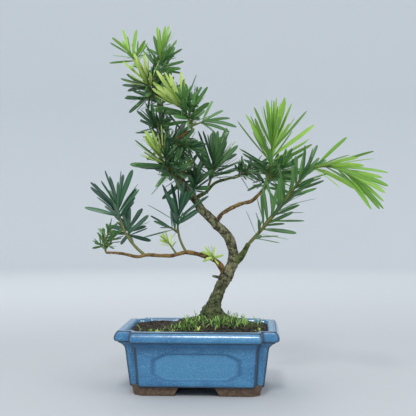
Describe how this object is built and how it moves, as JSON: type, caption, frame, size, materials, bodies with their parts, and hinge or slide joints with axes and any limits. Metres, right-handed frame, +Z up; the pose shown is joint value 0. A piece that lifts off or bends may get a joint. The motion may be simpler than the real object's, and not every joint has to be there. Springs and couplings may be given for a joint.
{
  "type": "potted bonsai tree",
  "caption": "Buddhist pine bonsai: a bent, tapering trunk and thin boughs with tufts of narrow strap leaves, in a glazed rectangular pot with stepped corners.",
  "frame": {"origin": "middle of the whole plant's footprint, on the surface that the pot's feet stand on", "axes": "+Z up along the tree, +X to the right along the pot's long side, -Y to the front"},
  "size_m": [0.3797, 0.1641, 0.4622],
  "materials": {
    "pot_glaze": "glossy blue glaze, faintly speckled",
    "foot_clay": "bare brown clay",
    "soil": "loose dark soil with moss",
    "trunk_bark": "rough grey-brown bark",
    "bough_bark": "ochre bark",
    "grown_leaf": "leathery dark green leaf",
    "new_leaf": "soft yellow-green leaf"
  },
  "bodies": {
    "root": {"pot": "pot_glaze", "foot_front_left": "foot_clay", "foot_front_right": "foot_clay", "foot_back_left": "foot_clay", "foot_back_right": "foot_clay", "soil": "soil", "trunk": "trunk_bark", "leader": "bough_bark", "upper_right_bough": "bough_bark", "left_bough": "bough_bark", "right_bough": "bough_bark", "long_shoot": "bough_bark", "centre_bough": "bough_bark", "apex_right_foliage": "grown_leaf", "upper_left_foliage": "grown_leaf", "upper_right_foliage": "grown_leaf", "middle_left_foliage": "grown_leaf", "shoulder_foliage": "grown_leaf", "centre_foliage": "grown_leaf", "collar_foliage": "grown_leaf", "centre_tip_foliage": "grown_leaf", "long_shoot_foliage": "grown_leaf", "left_middle_foliage": "grown_leaf", "left_tall_foliage": "grown_leaf", "left_tip_foliage": "grown_leaf", "back_upper_foliage": "grown_leaf", "back_middle_foliage": "grown_leaf", "back_lower_foliage": "grown_leaf", "right_back_foliage": "grown_leaf", "front_middle_foliage": "grown_leaf", "apex_left_foliage": "new_leaf", "stub_sprout": "new_leaf", "right_crown_foliage": "new_leaf", "right_spray_foliage": "new_leaf", "left_bough_sprout": "new_leaf", "left_bud_foliage": "new_leaf"}
  },
  "joints": []
}
